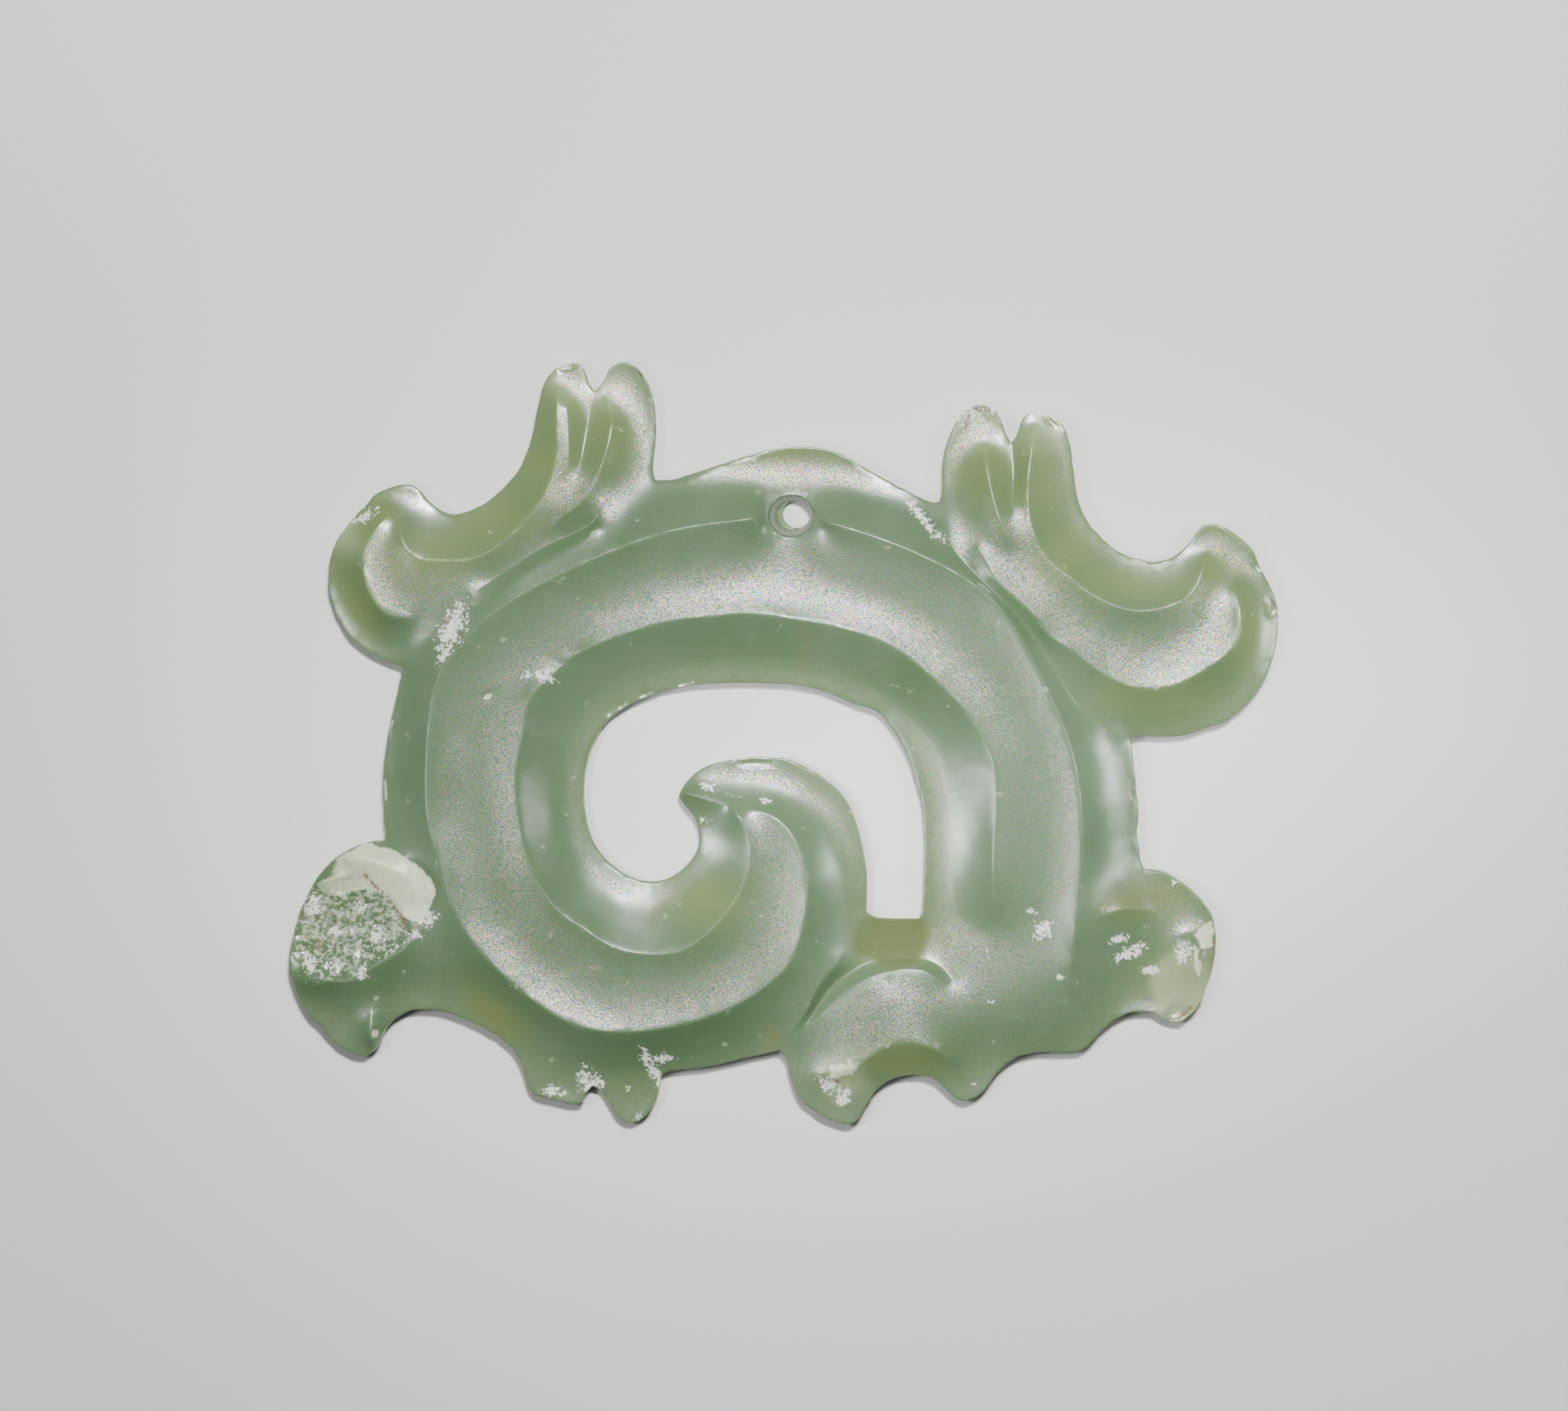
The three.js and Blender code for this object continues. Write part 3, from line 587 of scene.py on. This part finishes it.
# Partly painted light: these patches pale the hook tips as if light shone through the thin stone,
# on top of their paler tone.
MILKY_GLOW = [(25.4, 41.4, 3.6, 3.6, 0), (33.4, 40.4, 3.0, 3.6, -30), (-28.2, 46.6, 2.6, 3.0, 10),
         (-22, 46, 2.4, 3.0, -10), (-57, 27.6, 2.4, 4.0, 20), (7.6, -43, 3.2, 3.0, 20)]
MILKY_GLOW_TIP = [(47.4, -29.4), (48.9, -27.6), (50.9, -26.6), (52.9, -27.7), (54.5, -27.3),
             (55.1, -30.1), (54.2, -33.1), (52.4, -35.6), (50.4, -36.2), (48.6, -34.6),
             (47.3, -31.6)]
STAIN = [(-43.4, 15.9, 0.5, 1.0, 0), (-27.6, 47.5, 1.0, 0.7, 0), (23.6, 41.2, 0.6, 1.6, -20),
         (24.8, 43.4, 0.7, 0.6, 0), (28.4, 43, 0.4, 1.0, 0), (28.1, 40.9, 0.5, 0.4, 0),
         (51.6, -34.8, 1.8, 0.5, 35), (55.7, -26, 0.4, 1.6, 0), (63.6, 18, 0.4, 1.2, 10),
         (61.4, 23.4, 0.3, 0.6, 20), (-48.8, -22.6, 0.5, 0.9, 0), (-60, -26, 0.7, 0.7, 0),
         (-47.2, -23.6, 0.6, 0.4, 0), (-58.6, -35.4, 1.0, 0.25, -50), (-55, -12.8, 0.8, 0.2, 30),
         (-25.2, -43, 0.3, 0.8, 0), (7, -43.6, 0.9, 0.3, -30), (-17.2, -41.2, 0.4, 0.6, 0),
         (1.9, -47.2, 0.5, 0.2, -40), (45.7, -5.4, 0.2, 0.5, 0)]
VEIN = [(2.4, 35.4, 0.5, 3.4, 0), (2.6, 11.8, 0.6, 4.4, 0), (15, -25.4, 4.6, 2.8, 0),
        (15, -41, 4.6, 1.2, 0), (-37, -35.6, 4.6, 1.4, -35), (-1.6, -38, 1.4, 1.8, 0),
        (-16, -20.6, 2.6, 1.6, 20), (-42.6, 14, 1.0, 3, -20), (45, -20.4, 4.6, 1.0, 0)]
WARM = [(-27, 44, 6, 8, 0), (-21, 42, 4, 8, 0), (-30, 36, 6, 6, 20), (-37, 29, 10, 4, 25),
        (-53, 29, 6, 7, 30), (-56, 17, 5, 7, 0), (-46, 24, 8, 4, 20), (26, 38, 6, 9, 0),
        (34, 35, 5, 9, -10), (37, 25, 4, 7, -40), (46, 21, 12, 3, 0), (56, 24, 5, 7, -20),
        (60, 14, 4, 8, -10), (48, 6, 10, 3, 0), (52, -31, 5, 6, 30), (48, -20, 8, 2.4, 10),
        (15, -26, 6, 3, 0), (15, -41, 7, 2, 0), (-1, 38, 17, 5, 0), (-37, -35, 7, 2, -35),
        (-10, -20, 6, 4, 0)]
PALE_LOBE = [(-60.8, -19), (-59, -16.6), (-56.6, -14.6), (-53, -12.9), (-44.7, -18),
             (-46.5, -23.1), (-49.2, -22.5), (-51, -20), (-54, -18.8), (-58, -20)]
# Partly painted shade: the membrane under the opening and the hollow in the lower right hook get a
# darker olive colour, and they are dull as well.
MEMBRANE = [(9.8, -22.2), (18.4, -22.2), (19, -25.4), (17.6, -28.4), (12.6, -28.6), (8.6, -27),
            (8.9, -24.6)]
HOOK_HOLLOW = (45.6, -19.4, 6.4, 2.2, 0)
CRACK = [(-54.1, -16.7), (-52.2, -18.8), (-50.4, -20.2), (-48.9, -22.8)]
CRUST_HEIGHT = 0.05

crust = patches(CRUST)
pale_lobe = 0.8 * area(PALE_LOBE, 6)
pale = np.maximum(patches(PALE), np.maximum(flake, pale_lobe))
# The milky mask: paler stone at the hook tips, partly painted light shining through them.
milky_glow = np.maximum(spread_out(patches(MILKY_GLOW), 12), area(MILKY_GLOW_TIP, 3))
dull_shaded_hollow = spread_out(area(MEMBRANE), 4)
dull_shaded_hollow = np.maximum(dull_shaded_hollow, 0.7 * spread_out(patches([HOOK_HOLLOW]), 6))
stain = patches(STAIN)
vein = spread_out(patches(VEIN), 6)
warm = spread_out(patches(WARM), 30)
for (ax, ay), (bx, by) in zip(CRACK, CRACK[1:]):
    length = math.hypot(bx - ax, by - ay)
    along = np.clip(((X - ax) * (bx - ax) + (Y - ay) * (by - ay)) / length**2, 0, 1)
    reach = np.hypot(X - ax - along * (bx - ax), Y - ay - along * (by - ay))
    stain = np.maximum(stain, 0.9 * (1 - ease(0.05, 0.3, reach + 0.12 * FINE)))
Z += np.where(FRONT, CRUST_HEIGHT * crust * (0.6 + 0.4 * FINE), 0)
print("crust over", int((crust > 0.5).sum()), "points, stain over", int((stain > 0.5).sum()))

# %% [markdown]
# The bevels were rubbed smooth, but the floors of the grooves keep a fine ground grain. A slope
# tells them apart: groove floors are nearly level, bevels are steep. The points are also kept
# inside the box of the construction.

# %% Write the points back and measure the slope
P[:] = np.clip(P, np.array(cad_low) / MM, np.array(cad_high) / MM)
for vert, place in zip(skin.verts, P):
    vert.co = Vector(place) * MM


def true_hole():
    """The bore is made round again: points close to its wall are moved out or in to its radius."""
    for vert in skin.verts:
        if FRONT[vert.index] or not in_hole(vert.co, 1.3):
            continue
        off = vert.co.xy - BORE_CENTRE
        if abs(off.length - BORE_RADIUS) < 0.06 * MM:
            vert.co.xy = BORE_CENTRE + off.normalized() * BORE_RADIUS


true_hole()
skin.normal_update()
N = np.array([v.normal for v in skin.verts])
slope = np.hypot(N[:, 0], N[:, 1]) / np.maximum(N[:, 2], 0.05)
slope = spread_out(np.minimum(slope, 1.5), 6)
ground = np.where(FRONT, 1 - ease(0.24, 0.36, slope), 0)
ground = spread_out(ground, 3)
# Painted light: points low on the slab get a mask that lightens their colour, as if light shone
# through the thin stone.
thin_glow = 1 - ease(1.6, 3.0, P[:, 2])
print("grained share of the face:", round(float(ground[FRONT].mean()), 2))

# %% [markdown]
# The finished skin becomes one piece, and the masks go with it as values on its points.

# %% Make the piece
def finished_piece(name, bm, values):
    mesh = bpy.data.meshes.new(name)
    bm.to_mesh(mesh)
    for label, numbers in values.items():
        layer = mesh.attributes.new(label, "FLOAT", "POINT")
        layer.data.foreach_set("value", np.asarray(numbers, np.float32))
    mesh.shade_smooth()
    piece = bpy.data.objects.new(name, mesh)
    bpy.context.scene.collection.objects.link(piece)
    return piece


values = {"crust": crust, "pale": pale, "stain": stain, "vein": vein, "warm": warm,
          "dull_shaded_hollow": dull_shaded_hollow, "milky_glow": milky_glow, "broken": broken, "ground": ground, "thin_glow": thin_glow,
          "crest": crest}
carving = finished_piece("carved_jade_plaque", skin, values)
skin.free()
print(carving.name, "has", len(carving.data.polygons), "triangles")

# %% [markdown]
# Effects that are used more than once in the stone are node groups. Small helpers keep the node
# code short: one makes a group with named sockets, one adds a node and sets its inputs.

# %% Node helpers
def new_group(name, inputs, outputs):
    group = bpy.data.node_groups.new(name, "ShaderNodeTree")
    for label, kind, value in inputs:
        socket = group.interface.new_socket(label, in_out="INPUT", socket_type=kind)
        if value is not None:
            socket.default_value = value
    for label, kind in outputs:
        group.interface.new_socket(label, in_out="OUTPUT", socket_type=kind)
    return group, group.nodes.new("NodeGroupInput"), group.nodes.new("NodeGroupOutput")


def add_node(tree, kind, settings=None, **inputs):
    node = tree.nodes.new(kind)
    for key, value in (settings or {}).items():
        setattr(node, key, value)
    for key, value in inputs.items():
        numbered = key[0] == "i" and key[1:].isdigit()
        socket = node.inputs[int(key[1:])] if numbered else node.inputs[key]
        if isinstance(value, bpy.types.NodeSocket):
            tree.links.new(value, socket)
        else:
            socket.default_value = value
    return node


def math_node(tree, operation, a, b=0.0, c=0.0, clamp=False):
    settings = {"operation": operation, "use_clamp": clamp}
    return add_node(tree, "ShaderNodeMath", settings, i0=a, i1=b, i2=c).outputs[0]


def mix_colour(tree, factor, a, b):
    return add_node(tree, "ShaderNodeMix", {"data_type": "RGBA"}, i0=factor, i6=a, i7=b).outputs[2]


def noise_value(tree, place, scale, detail=2.0, roughness=0.5):
    node = add_node(tree, "ShaderNodeTexNoise", None, Vector=place, Scale=scale, Detail=detail,
                    Roughness=roughness)
    return node.outputs["Fac"]


# %% [markdown]
# Jade is a felt of fine fibres, and its colour drifts between two greens in soft clouds, with
# small pale flecks. The first group gives a value for each. The second breaks up the border of a
# patch and lets its grain eat holes in it. The third is the ground grain of the groove floors: a
# fine height for the normals, a glint that makes some grains mirror more than others, and a tint
# for each glint, because in a ground surface every grain catches its own colour.

# %% Clouds, ragged borders and ground grain
def clouds_group():
    group, start, end = new_group(
        "stone clouds",
        [("Cloud size", "NodeSocketFloat", 60.0), ("Fleck size", "NodeSocketFloat", 700.0)],
        [("Cloud", "NodeSocketFloat"), ("Fleck", "NodeSocketFloat")])
    place = add_node(group, "ShaderNodeTexCoord").outputs["Object"]
    cloud = noise_value(group, place, start.outputs["Cloud size"], 4.0, 0.55)
    cloud = add_node(group, "ShaderNodeMapRange", {"interpolation_type": "SMOOTHSTEP"},
                     Value=cloud, i1=0.35, i2=0.65).outputs[0]
    fleck = noise_value(group, place, start.outputs["Fleck size"], 3.0, 0.6)
    fleck = add_node(group, "ShaderNodeMapRange", {"interpolation_type": "SMOOTHSTEP"},
                     Value=fleck, i1=0.67, i2=0.75).outputs[0]
    group.links.new(cloud, end.inputs["Cloud"])
    group.links.new(fleck, end.inputs["Fleck"])
    return group


def ragged_group():
    group, start, end = new_group(
        "ragged patch",
        [("Patch", "NodeSocketFloat", 0.0), ("Grain size", "NodeSocketFloat", 900.0),
         ("Raggedness", "NodeSocketFloat", 0.6)],
        [("Mask", "NodeSocketFloat")])
    place = add_node(group, "ShaderNodeTexCoord").outputs["Object"]
    grain = noise_value(group, place, start.outputs["Grain size"], 4.0, 0.65)
    drift = math_node(group, "MULTIPLY", math_node(group, "SUBTRACT", grain, 0.5),
                      start.outputs["Raggedness"])
    drift = math_node(group, "MULTIPLY", drift, 3.0)
    total = math_node(group, "ADD", start.outputs["Patch"], drift)
    mask = add_node(group, "ShaderNodeMapRange", {"interpolation_type": "SMOOTHSTEP"},
                    Value=total, i1=0.42, i2=0.62).outputs[0]
    inside = math_node(group, "GREATER_THAN", start.outputs["Patch"], 0.02)
    group.links.new(math_node(group, "MULTIPLY", mask, inside), end.inputs["Mask"])
    return group


def grain_group():
    group, start, end = new_group(
        "ground grain",
        [("Amount", "NodeSocketFloat", 1.0), ("Grain size", "NodeSocketFloat", 6000.0)],
        [("Height", "NodeSocketFloat"), ("Glint", "NodeSocketFloat"), ("Tint", "NodeSocketColor")])
    place = add_node(group, "ShaderNodeTexCoord").outputs["Object"]
    fine = noise_value(group, place, start.outputs["Grain size"], 2.0, 0.7)
    height = math_node(group, "MULTIPLY", math_node(group, "SUBTRACT", fine, 0.5),
                       start.outputs["Amount"])
    speck = add_node(group, "ShaderNodeTexNoise", None, Vector=place, Detail=1.0,
                     Scale=math_node(group, "MULTIPLY", start.outputs["Grain size"], 0.8))
    glint = math_node(group, "MULTIPLY", math_node(group, "SUBTRACT", speck.outputs["Fac"], 0.5),
                      start.outputs["Amount"])
    tint = add_node(group, "ShaderNodeHueSaturation", None, Saturation=2.4, Value=1.8,
                    Color=speck.outputs["Color"]).outputs["Color"]
    tint = mix_colour(group, math_node(group, "MULTIPLY", start.outputs["Amount"], 0.8),
                      (1.0, 1.0, 1.0, 1.0), tint)
    group.links.new(tint, end.inputs["Tint"])
    group.links.new(height, end.inputs["Height"])
    group.links.new(glint, end.inputs["Glint"])
    return group


CLOUDS, RAGGED, GRAIN = clouds_group(), ragged_group(), grain_group()
print("groups:", CLOUDS.name, "/", RAGGED.name, "/", GRAIN.name)

# %% [markdown]
# The stone itself is a polished surface over a body that light sinks into, so it is a Principled
# shader with some subsurface scattering. The masks on the points lay the warm stone, the painted
# light of the thin edges, the veined stone, the olive stone partly painted as shade in the hollows,
# the milky stone partly painted as light through the tips, the pale bruises, the break, the white
# crust and the brown stain over the body colour, in that order. Ridges and hollows mirror less than
# the rest.

# %% Jade
def place_group(tree, group, **inputs):
    node = tree.nodes.new("ShaderNodeGroup")
    node.node_tree = group
    for key, value in inputs.items():
        socket = node.inputs[key.replace("_", " ")]
        if isinstance(value, bpy.types.NodeSocket):
            tree.links.new(value, socket)
        else:
            socket.default_value = value
    return node


def point_value(tree, label):
    return add_node(tree, "ShaderNodeAttribute", {"attribute_name": label}).outputs["Fac"]


BUMP_DEPTH = 0.03 * MM


def jade_material():
    jade = bpy.data.materials.new("pale green jade")
    jade.use_nodes = True
    tree = jade.node_tree
    shader = tree.nodes["Principled BSDF"]

    deep_green = (0.082, 0.142, 0.069, 1)
    grey_green = (0.106, 0.170, 0.094, 1)
    # Painted light: a lighter green for the thin edges, as if light shone through them.
    edge_glow_green = (0.165, 0.225, 0.100, 1)
    warm_green = (0.155, 0.215, 0.078, 1)
    # A dark olive, partly painted shade in the hollows.
    olive_and_shade = (0.095, 0.120, 0.042, 1)
    vein_brown = (0.165, 0.160, 0.055, 1)
    pale_cream = (0.600, 0.660, 0.450, 1)
    # Paler stone, partly painted light shining through the thin tips.
    milky_glow_green = (0.330, 0.390, 0.215, 1)
    crust_white = (0.780, 0.790, 0.740, 1)
    stain_brown = (0.170, 0.110, 0.055, 1)

    clouds = place_group(tree, CLOUDS, Cloud_size=45.0, Fleck_size=500.0)
    body = mix_colour(tree, clouds.outputs["Cloud"], deep_green, grey_green)
    warm_share = math_node(tree, "MULTIPLY", point_value(tree, "warm"), 0.95)
    body = mix_colour(tree, warm_share, body, warm_green)
    # Painted light: the thin edges are lightened towards this green.
    thin_glow_share = math_node(tree, "MULTIPLY", point_value(tree, "thin_glow"), 0.45)
    body = mix_colour(tree, thin_glow_share, body, edge_glow_green)
    vein_share = math_node(tree, "MULTIPLY", point_value(tree, "vein"), 0.6)
    body = mix_colour(tree, vein_share, body, vein_brown)
    fleck_share = math_node(tree, "MULTIPLY", clouds.outputs["Fleck"], 0.30)
    body = mix_colour(tree, fleck_share, body, pale_cream)
    # Partly painted shade: the hollows are darkened towards olive.
    olive_shade_share = math_node(tree, "MULTIPLY", point_value(tree, "dull_shaded_hollow"), 0.75)
    body = mix_colour(tree, olive_shade_share, body, olive_and_shade)
    # Partly painted light: the hook tips are paled as if light shone through them.
    milky_glow_share = math_node(tree, "MULTIPLY", point_value(tree, "milky_glow"), 0.75)
    body = mix_colour(tree, milky_glow_share, body, milky_glow_green)

    pale_mask = place_group(tree, RAGGED, Patch=point_value(tree, "pale"), Grain_size=400.0,
                            Raggedness=0.35).outputs["Mask"]
    pale_drift = math_node(tree, "MULTIPLY_ADD", clouds.outputs["Cloud"], 0.35, 0.58)
    body = mix_colour(tree, math_node(tree, "MULTIPLY", pale_mask, pale_drift), body, pale_cream)
    broken_part = math_node(tree, "MULTIPLY", point_value(tree, "broken"), 0.44)
    broken_mask = place_group(tree, RAGGED, Patch=broken_part, Grain_size=1700.0,
                              Raggedness=1.1).outputs["Mask"]
    body = mix_colour(tree, math_node(tree, "MULTIPLY", broken_mask, 0.5), body, pale_cream)
    crust_mask = place_group(tree, RAGGED, Patch=point_value(tree, "crust"), Grain_size=2200.0,
                             Raggedness=1.5).outputs["Mask"]
    body = mix_colour(tree, math_node(tree, "MULTIPLY", crust_mask, 0.85), body, crust_white)
    stain_mask = place_group(tree, RAGGED, Patch=point_value(tree, "stain"), Grain_size=1600.0,
                             Raggedness=0.7).outputs["Mask"]
    body = mix_colour(tree, math_node(tree, "MULTIPLY", stain_mask, 0.8), body, stain_brown)
    tree.links.new(body, shader.inputs["Base Color"])

    rubbed = 0.25
    satin = 0.05
    dull = 0.30
    shine_level = 0.62
    glint_range = 2.4
    crest_dulling = 0.6
    least_shine = 0.15
    grain = place_group(tree, GRAIN, Amount=point_value(tree, "ground"), Grain_size=5200.0)
    rough = math_node(tree, "MULTIPLY_ADD", point_value(tree, "ground"), satin, rubbed)
    for matt_place in (crust_mask, broken_mask, point_value(tree, "dull_shaded_hollow")):
        rough = math_node(tree, "MULTIPLY_ADD", matt_place, dull, rough)
    tree.links.new(rough, shader.inputs["Roughness"])
    glint = math_node(tree, "MULTIPLY_ADD", grain.outputs["Glint"], glint_range, shine_level)
    dulled = math_node(tree, "MULTIPLY", point_value(tree, "crest"), crest_dulling)
    dulled = math_node(tree, "MAXIMUM", dulled, point_value(tree, "dull_shaded_hollow"))
    bright = math_node(tree, "MAXIMUM", math_node(tree, "SUBTRACT", 1.0, dulled), least_shine)
    shine = math_node(tree, "MULTIPLY", glint, bright, clamp=True)
    tree.links.new(shine, shader.inputs["Specular IOR Level"])
    tree.links.new(grain.outputs["Tint"], shader.inputs["Specular Tint"])

    ripple_place = add_node(tree, "ShaderNodeTexCoord").outputs["Object"]
    ripple = noise_value(tree, ripple_place, 900.0, 3.0, 0.5)
    height = math_node(tree, "MULTIPLY", ripple, 0.10)
    for relief, share in ((grain.outputs["Height"], 0.9), (crust_mask, 0.5), (broken_mask, 0.8)):
        height = math_node(tree, "MULTIPLY_ADD", relief, share, height)
    bump = add_node(tree, "ShaderNodeBump", None, Strength=1.0, Distance=BUMP_DEPTH, Height=height)
    tree.links.new(bump.outputs["Normal"], shader.inputs["Normal"])

    shader.inputs["IOR"].default_value = 1.61
    shader.inputs["Subsurface Weight"].default_value = 0.35
    shader.inputs["Subsurface Radius"].default_value = (1.0, 1.2, 0.8)
    shader.inputs["Subsurface Scale"].default_value = 1.6 * MM
    return jade


carving.data.materials.append(jade_material())
print("jade has", len(carving.data.materials[0].node_tree.nodes), "nodes")

# %% [markdown]
# The finished skin stands for the construction's plaque and moves with it.

# %% Hand over the piece
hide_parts("jade_plaque")
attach(carving, "root")

low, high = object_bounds()
sizes = {"cad": [list(cad_low), list(cad_high)], "visual": [list(low), list(high)]}
print("cad box", sizes["cad"], "visual box", sizes["visual"])
